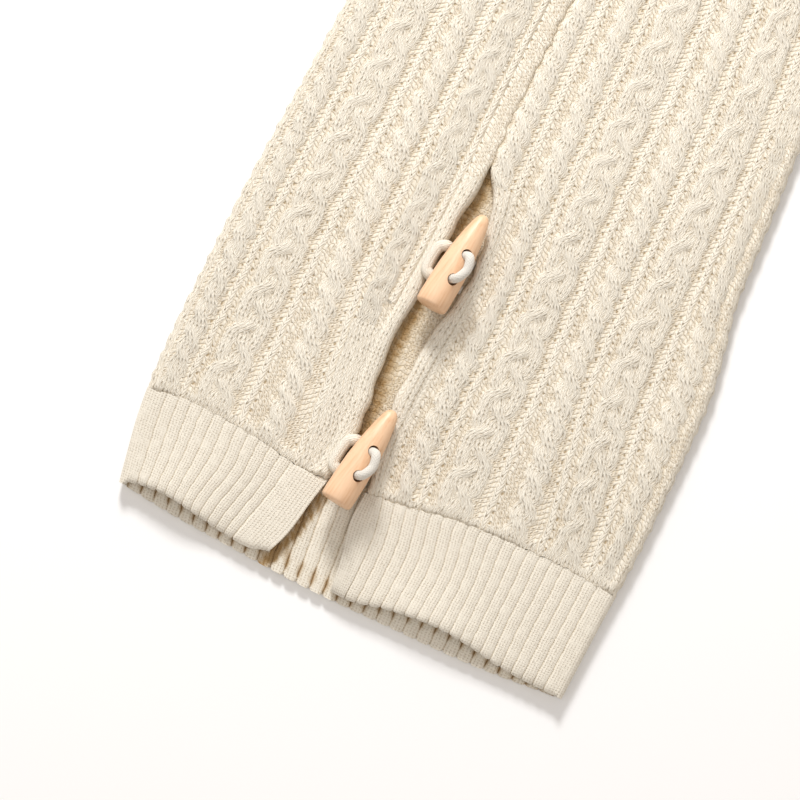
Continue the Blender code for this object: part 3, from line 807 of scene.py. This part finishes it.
# Cords: the toggle's cord through its holes and the elastic loop, as round tubes
cords = {
    "cordRadius": 1.8,
    "loopRadius": 2.25,
    "around": 20,
    "along": 90,
    "floorZ": 4.95,  # on the back layer
    "overBand": 8.9,
    "cordTuck": 0.3,  # into the slit's right edge
    "loopFrom": 11.5,  # the loop's two ends, up the toggle from its base
    "loopTo": 25.0,
    "loopStand": 1.65,  # of the loop's ends off the left lip
    "loopReach": 2.1,  # of the loop's bend over the left band
}


def routePoints(route, count):
    pts = np.array([tuple(p) for p in route], float)
    run = np.concatenate([[0], np.cumsum(np.linalg.norm(np.diff(pts, axis=0), axis=1))])
    at = np.linspace(0, run[-1], count)
    return np.stack([curveAt(list(zip(run, pts[:, k])), at) for k in range(3)], axis=1), run[-1]


def buildTube(name, side, route, radius, material):
    points, length = routePoints(route, cords["along"] + 1)
    around, along = cords["around"], cords["along"]
    bm = bmesh.new()
    bmesh.ops.create_grid(bm, x_segments=around, y_segments=along, size=1)
    uv = bm.loops.layers.uv.new("weave")
    stitched = bm.loops.layers.uv.new("stitch")
    for face in bm.faces:
        for loop in face.loops:
            spot = loop.vert.co
            loop[uv].uv = ((spot.x + 1) / 2, (spot.y + 1) / 2 * length)
            loop[stitched].uv = ((spot.x + 1) * 4, (spot.y + 1) / 2 * length / 1.4)
    tangents = np.gradient(points, axis=0)
    tangents /= np.linalg.norm(tangents, axis=1, keepdims=True)
    normal = np.cross(tangents[0], (0, 0, 1.0))
    if np.linalg.norm(normal) < 0.1:
        normal = np.cross(tangents[0], (0, 1.0, 0))
    frames = []
    for tangent in tangents:  # carried along without twist
        normal = normal - tangent * np.dot(normal, tangent)
        normal /= np.linalg.norm(normal)
        frames.append((normal, np.cross(tangent, normal)))
    for vert in bm.verts:
        angle = math.pi * (vert.co.x + 1)
        row = round((vert.co.y + 1) / 2 * along)
        a, b = frames[row]
        x, y, z = points[row] + radius * (a * math.cos(angle) + b * math.sin(angle))
        vert.co = pairPoint(side, x, y, z)
    bmesh.ops.remove_doubles(bm, verts=bm.verts, dist=1e-6)
    bmesh.ops.holes_fill(bm, edges=[e for e in bm.edges if e.is_boundary], sides=0)
    faceOutwards(bm)
    mesh = meshOf(name, bm)
    mesh.shade_smooth()
    mesh.materials.append(material)
    piece = linked(name, mesh)
    return piece


def cordRoute(which):
    floorZ = cords["floorZ"]

    def half(distance, order):
        low = togglePoint(which, distance, -6.5)
        edge = min(float(lineAt("slitRight", low.y + way * 1.45)) for way in (-1, 1)) - cords["cordTuck"]
        return [
            (edge, low.y, floorZ),
            (mix(edge, low.x, 0.55), low.y, floorZ),
            (low.x + 0.6, low.y, floorZ + 1.5),
            *(togglePoint(which, distance - order * 0.4, height) for height in (-5.0, 0.0, 6.0)),
            togglePoint(which, distance - order * 1.2, 8.6, 0.4),
        ]

    near, far = toggle["holes"]
    return [*half(far, 1), togglePoint(which, (near + far) / 2, 9.2, 1.6), *half(near, -1)[::-1]]


def loopRoute(which):
    baseY = toggle["rest"][which][1]
    low, high = baseY + cords["loopFrom"], baseY + cords["loopTo"]
    middle = (low + high) / 2
    floorZ, top = cords["floorZ"], cords["overBand"]

    def half(y, order):
        edge = max(float(lineAt("slitLeft", y + way * 1.35)) for way in (-1, 1))
        out = edge + cords["loopStand"]
        return [
            (out, y, floorZ),
            (out, y, floorZ + 1.6),
            (out - 1.2, y - order * 0.3, top + 0.2),
            (edge - 1.6, y - order * 1.8, top + 0.1),
        ]

    bend = (float(lineAt("slitLeft", middle)) - cords["loopReach"], middle, top)
    return [*half(high, 1), bend, *half(low, -1)[::-1]]


# Materials
finish = {
    "yarn": (0.87, 0.815, 0.705),
    # painted shade between the stitches, in the hollows and on the lining side
    "yarnShade": (0.64, 0.525, 0.36),
    # painted shade in the holes between the stitches
    "yarnHoleShade": (0.38, 0.27, 0.14),
    "yarnDeepShade": (0.3, 0.165, 0.045),  # painted deep shade under the slit's lip
    "cord": (0.72, 0.69, 0.63),
    # painted shade in the grooves between the cord's twists
    "cordShade": (0.60, 0.52, 0.42),
    "wood": (0.83, 0.555, 0.353),
    "woodDark": (0.68, 0.38, 0.198),
    "floor": (0.91, 0.91, 0.91),
}


def operator(kind, swapped=False):
    def made(self, *others):
        values = (self, *others)
        return self.graph.sum(kind, *(values[::-1] if swapped else values))

    return made


class Value:  # a node's output, for sums with numbers and other outputs
    def __init__(self, graph, socket):
        self.graph, self.socket = graph, socket

    __add__ = operator("ADD")
    __sub__ = operator("SUBTRACT")
    __rsub__ = operator("SUBTRACT", swapped=True)
    __mul__ = operator("MULTIPLY")
    __truediv__ = operator("DIVIDE")
    __pow__ = operator("POWER")
    __abs__ = operator("ABSOLUTE")


def clamped(value):  # keeps the last step of a sum between 0 and 1
    value.socket.node.use_clamp = True
    return value


class Graph:  # short ways to add nodes and wire them
    def __init__(self, tree):
        self.tree = tree

    def fill(self, node, inputs):
        for key, value in inputs.items():
            if isinstance(value, Value):
                self.tree.links.new(value.socket, node.inputs[key])
            else:
                node.inputs[key].default_value = value
        return node

    def add(self, kind, inputs, **settings):
        node = self.tree.nodes.new(kind)
        for key, value in settings.items():
            setattr(node, key, value)
        return self.fill(node, inputs)

    def get(self, kind, output, inputs={}, **settings):  # one output of a new node
        return Value(self, self.add(kind, inputs, **settings).outputs[output])

    def sum(self, operation, *values):
        return self.get("ShaderNodeMath", 0, dict(enumerate(values)), operation=operation)

    def split(self, vector):
        node = self.add("ShaderNodeSeparateXYZ", {0: vector})
        return [Value(self, socket) for socket in node.outputs[:2]]

    def blend(self, factor, *colours):  # each is a name in finish or an output
        a, b = ((*finish[c], 1) if isinstance(c, str) else c for c in colours)
        return self.get("ShaderNodeMix", 2, {0: factor, 6: a, 7: b}, data_type="RGBA")

    def noise(self, vector, scale, detail=2.0, roughness=0.5, **settings):
        inputs = {"Vector": vector, "Scale": scale, "Detail": detail, "Roughness": roughness}
        return self.get("ShaderNodeTexNoise", "Fac", inputs, **settings)

    def bump(self, height, strength, depth):
        inputs = {"Strength": strength, "Distance": depth * mm, "Height": height}
        return self.get("ShaderNodeBump", 0, inputs)


def stitchGroup():  # relief, holes and dots of the stitches, for the bump and for painted shade in the gaps between them; Kind is 0 for knit, 0.5 for a ladder, 1 for purl
    tree = bpy.data.node_groups.new("knitStitch", "ShaderNodeTree")
    tree.interface.new_socket("Stitch", in_out="INPUT", socket_type="NodeSocketVector")
    tree.interface.new_socket("Kind", in_out="INPUT", socket_type="NodeSocketFloat")
    for output in ("Relief", "Hole", "Dots"):
        tree.interface.new_socket(output, in_out="OUTPUT", socket_type="NodeSocketFloat")
    g = Graph(tree)
    stitch, kind = (Value(g, socket) for socket in g.add("NodeGroupInput", {}).outputs[:2])
    isKnit, isPurl = g.sum("LESS_THAN", kind, 0.25), g.sum("GREATER_THAN", kind, 0.75)
    isLadder = g.sum("COMPARE", kind, 0.5, 0.2)
    uneven = g.noise(stitch, 0.9, 1.0, noise_dimensions="2D") - 0.5
    cluster = g.noise(stitch, 0.23, 1.0, noise_dimensions="2D")
    wale, course = g.split(stitch)
    u, v = uneven * 0.4 + wale, uneven * 0.9 + course
    a = abs(g.sum("FRACT", u) - 0.5) * 2.0
    stitchRow = v - a * 1.1
    q = g.sum("FRACT", stitchRow)
    away = abs(u)
    slanted = g.sum("FRACT", away * 0.55 + v)

    def arc(along, power):
        return g.sum("SQRT", 1.0 - abs(along * 2.0 - 1.0) ** power)

    def wave(across):
        return g.sum("COSINE", across * math.tau) * 0.5 + 0.5

    def spot(across, place, width, along, length):  # a soft dot where both are near
        return clamped(1.0 - abs(across - place) / width) * clamped(1.0 - abs(along - 0.5) / length)

    notch = clamped(1.0 - a * 3.0) * 0.35  # less than the gap between wales
    knitRelief = arc(q, 3.0) * ((1.0 - a**3.0) * 0.75 + 0.25 - notch)
    purlRelief = arc(slanted, 2.5) * (abs(g.sum("SINE", away * math.pi)) * 0.45 + 0.55)
    relief = g.get("ShaderNodeMix", 0, {0: isPurl, 2: knitRelief, 3: purlRelief}, data_type="FLOAT")

    chance = clamped(uneven * 5.0 + 0.45 + (cluster * 5.0 - 2.2))
    beside = spot(away, 1.35, 0.4, g.sum("FRACT", v * 0.5), 0.19)
    further = spot(g.sum("FRACT", away), 0.35, 0.5, slanted, 0.38) * g.sum("GREATER_THAN", away, 1.7)
    purlHole = (beside * 1.6 + further) * isPurl
    ladderHole = spot(a, 0.0, 0.34, g.sum("FRACT", v * 0.5 + 0.5), 0.17) * isLadder
    cell = g.get("ShaderNodeCombineXYZ", 0, {0: g.sum("FLOOR", u + 0.5), 1: g.sum("FLOOR", stitchRow)})
    luck = g.get("ShaderNodeTexWhiteNoise", "Value", {"Vector": cell}, noise_dimensions="2D")
    knitHole = spot(a, 1.0, 0.5, q, 0.34) * clamped(luck * 2.2 - 0.7) * isKnit
    hole = clamped(clamped((purlHole + ladderHole) * chance) + knitHole)
    # painted shade dots where wales and courses meet, for the cuffs
    dots = wave(u) * wave(v) * clamped(cluster * 2.4 - 0.2)
    g.add("NodeGroupOutput", {"Relief": relief, "Hole": hole, "Dots": dots})
    return tree


def newMaterial(name):
    made = bpy.data.materials.new(name)
    made.use_nodes = True
    return made, Graph(made.node_tree), made.node_tree.nodes["Principled BSDF"]


knits = {  # depth of the relief in mm and of its holes, how much the painted shade between stitches and in the holes shows, and a lift of the whole
    "cable": {"depth": 0.42, "holeDepth": 1.0, "contrast": 0.9, "holeShade": 0.9, "lift": 0.1},
    "rib": {"depth": 0.26, "holeDepth": 0.5, "contrast": 0.5, "holeShade": 0.38, "lift": 0.4},
    "loop": {"depth": 0.45, "holeDepth": 0.0, "contrast": 0.3, "holeShade": 0.0, "lift": 0.25},
}


def knitMaterial(name, stitch, look, holes="Hole"):
    made, g, shader = newMaterial(name)
    contrast = knits[look]["contrast"]
    kind, paintedShade = (g.get("ShaderNodeAttribute", "Fac", attribute_name=key) for key in ("purl", "paintedShade"))
    uv = g.get("ShaderNodeUVMap", 0, uv_map="stitch")
    knitted = g.add("ShaderNodeGroup", {}, node_tree=stitch)
    g.fill(knitted, {"Stitch": uv, "Kind": kind})
    relief, hole = (Value(g, knitted.outputs[key]) for key in ("Relief", holes))
    coordinates = g.get("ShaderNodeTexCoord", "Object")
    fibre = g.noise(coordinates, 2200.0, 3.0, 0.7)
    patch = g.noise(coordinates, 60.0)
    height = relief * (kind * 0.36 + 0.64) + fibre * 0.5 - hole * knits[look]["holeDepth"]
    # painted shade where the stitch relief is low, between the stitches
    shade = clamped(1.0 - relief) ** 1.1 * (kind * (0.15 * contrast) + 0.85 * contrast)
    shade = shade + kind * 0.06 + paintedShade * 0.7  # painted shade: channels are a little darker than the cables, and the hollows darker still
    shade = clamped(shade + (fibre * 1.4 - 0.7) + (patch * 0.2 - (0.1 + knits[look]["lift"])))
    colour = g.blend(hole * knits[look]["holeShade"], g.blend(shade, "yarn", "yarnShade"), "yarnHoleShade")
    # painted deep shade where the shade mask is strongest, under the slit's lip
    deep = clamped(paintedShade * 0.95 - 0.75) * (relief * -0.3 + 1.0)
    g.fill(shader, {
        "Base Color": g.blend(deep, colour, "yarnDeepShade"),
        "Normal": g.bump(height, 1.0, knits[look]["depth"]),
        "Roughness": 0.92,
        "Specular IOR Level": 0.25,
        "Sheen Weight": 0.14,
        "Sheen Roughness": 0.5,
        "Sheen Tint": (1.0, 0.95, 0.84, 1),
    })
    return made


def cordMaterial():
    made, g, shader = newMaterial("soft cord")
    around, along = g.split(g.get("ShaderNodeUVMap", 0, uv_map="weave"))
    twists = (around * 9.0 + along, around * 9.0 - along)
    weave = g.sum("MAXIMUM", *(g.sum("SINE", twist * math.tau) for twist in twists))
    fibre = g.noise(g.get("ShaderNodeTexCoord", "Object"), 2600.0, 2.0, 0.6)
    g.fill(shader, {
        # painted shade in the grooves between the twists
        "Base Color": g.blend(clamped(weave * -0.15 + 0.16), "cord", "cordShade"),
        "Normal": g.bump(weave + fibre, 0.5, 0.15),
        "Roughness": 0.85,
        "Sheen Weight": 0.15,
    })
    return made


def woodMaterial(name, side, which):
    made, g, shader = newMaterial(name)
    base, along, _, _ = toggleAxes(which)
    placed = {
        "Vector": g.get("ShaderNodeTexCoord", "Object"),
        "Location": pairPoint(side, *base),
        "Rotation": (0, 0, math.atan2(side * along.x, along.y)),
    }
    ownAxes = g.get("ShaderNodeMapping", 0, placed, vector_type="TEXTURE")
    stretched = g.get("ShaderNodeMapping", 0, {"Scale": (1.0, 0.04, 1.0), "Vector": ownAxes})
    grain = g.noise(stretched, 1100.0, 3.0, 0.6)
    broad = g.noise(stretched, 230.0)
    flecks = g.noise(ownAxes, 900.0, 1.0)
    tone = clamped(grain * 2.0 - 0.85 + (broad * 1.6 - 0.7))
    g.fill(shader, {
        "Base Color": g.blend(tone, "wood", "woodDark"),
        "Normal": g.bump(grain, 0.15, 0.1),
        "Roughness": flecks * 0.12 + 0.4,
        "Coat Weight": 0.12,
        "Coat Roughness": 0.35,
    })
    return made


def buildLeg(legName, side, materials):
    cad = legName + "_"
    bodyPiece = buildBody(cad + "knit_body", side, materials["body"])
    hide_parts(cad + "cable_body")
    hem = buildHemRib(cad + "knit_hem", side, materials["cuff"])
    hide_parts(cad + "hem_rib")
    top = buildTopRib(cad + "knit_top", side, materials["cuff"])
    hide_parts(cad + "top_rib")
    bandA = buildBand(cad + "knit_band_a", side, "bandLeft", "slitLeft", materials["band"])
    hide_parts(cad + "slit_band_a")
    bandB = buildBand(cad + "knit_band_b", side, "bandRight", "slitRight", materials["band"])
    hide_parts(cad + "slit_band_b")
    print(legName, "knit made")
    extras = []
    for which in toggle["rest"]:
        wood = woodMaterial(f"{legName} {which} wood", side, which)
        button = buildToggle(f"{cad}turned_toggle_{which}", side, which, wood)
        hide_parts(f"{cad}toggle_{which}")
        cord = buildTube(f"{cad}cord_{which}", side, cordRoute(which), cords["cordRadius"], materials["cord"])
        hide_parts(f"{cad}toggle_cord_{which}")
        route = loopRoute(which)
        loop = buildTube(f"{cad}elastic_{which}", side, route, cords["loopRadius"], materials["loop"])
        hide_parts(f"{cad}loop_{which}")
        extras += [button, cord, loop]
    for piece in (bodyPiece, hem, top, bandA, bandB, *extras):
        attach(piece, "root")
    print(legName, "toggles and cords made")


def buildStage():
    bpy.ops.mesh.primitive_plane_add(size=6, location=(0, 0, -0.0002))
    floor = bpy.context.object
    floor.name = "floor"
    made, g, shader = newMaterial("white floor")
    g.fill(shader, {"Base Color": (*finish["floor"], 1), "Roughness": 0.9})
    floor.data.materials.append(made)


# The photograph's view: the leg's own axes turned in the picture, seen from almost straight above
shot = {
    "target": (-8.6, 79.8, 4.0),  # in the leg's frame
    "turn": math.radians(25.3),
    "tilt": math.radians(6.0),
    "frame": 306.5,  # what the picture's side spans
    "lens": 100.0,
    "sensor": 36.0,
}


def buildCamera():
    data = bpy.data.cameras.new("camera")
    data.lens = shot["lens"]
    data.sensor_width = shot["sensor"]
    data.clip_start = 0.05
    camera = linked("camera", data)
    distance = shot["frame"] * shot["lens"] / shot["sensor"] * mm
    target = Vector(legPlace(-1, *shot["target"]))
    turned = Matrix.Rotation(shot["turn"], 4, "Z") @ Matrix.Rotation(shot["tilt"], 4, "X")
    camera.matrix_world = Matrix.Translation(target) @ turned @ Matrix.Translation((0, 0, distance))
    bpy.context.scene.camera = camera


lights = {
    "aim": (-0.16, -0.09, 0),
    "key": {"from": (-0.03, 1.17, 0.79), "size": 0.3, "power": 18.5},
    "fill": {"from": (-0.4, -0.3, 1.6), "size": 2.2, "power": 5.2},
    "world": 0.59,
    "worldColour": (1.0, 0.93, 0.87),
}


def buildLights():
    aim = Vector(lights["aim"])
    turned = Matrix.Rotation(shot["turn"], 3, "Z")
    for name in ("key", "fill"):
        setting = lights[name]
        data = bpy.data.lights.new(name, "AREA")
        data.shape = "SQUARE"
        data.size = setting["size"]
        data.energy = setting["power"]
        lamp = linked(name, data)
        lamp.location = aim + turned @ Vector(setting["from"])
        lamp.rotation_euler = (aim - lamp.location).to_track_quat("-Z", "Y").to_euler()
    world = bpy.data.worlds.new("studio")
    world.use_nodes = True
    background = world.node_tree.nodes["Background"]
    background.inputs["Color"].default_value = (*lights["worldColour"], 1)
    background.inputs["Strength"].default_value = lights["world"]
    bpy.context.scene.world = world
    bpy.context.scene.view_settings.view_transform = "Standard"


buildCamera()
buildLights()
buildStage()
print("camera, lights and floor made")
stitch = stitchGroup()
materials = {
    "body": knitMaterial("ivory cable knit", stitch, "cable"),
    "band": knitMaterial("ivory band knit", stitch, "cable"),
    "cuff": knitMaterial("ivory rib knit", stitch, "rib", "Dots"),
    "loop": knitMaterial("ivory loop yarn", stitch, "loop"),
    "cord": cordMaterial(),
}
buildLeg("left", -1, materials)
buildLeg("right", 1, materials)
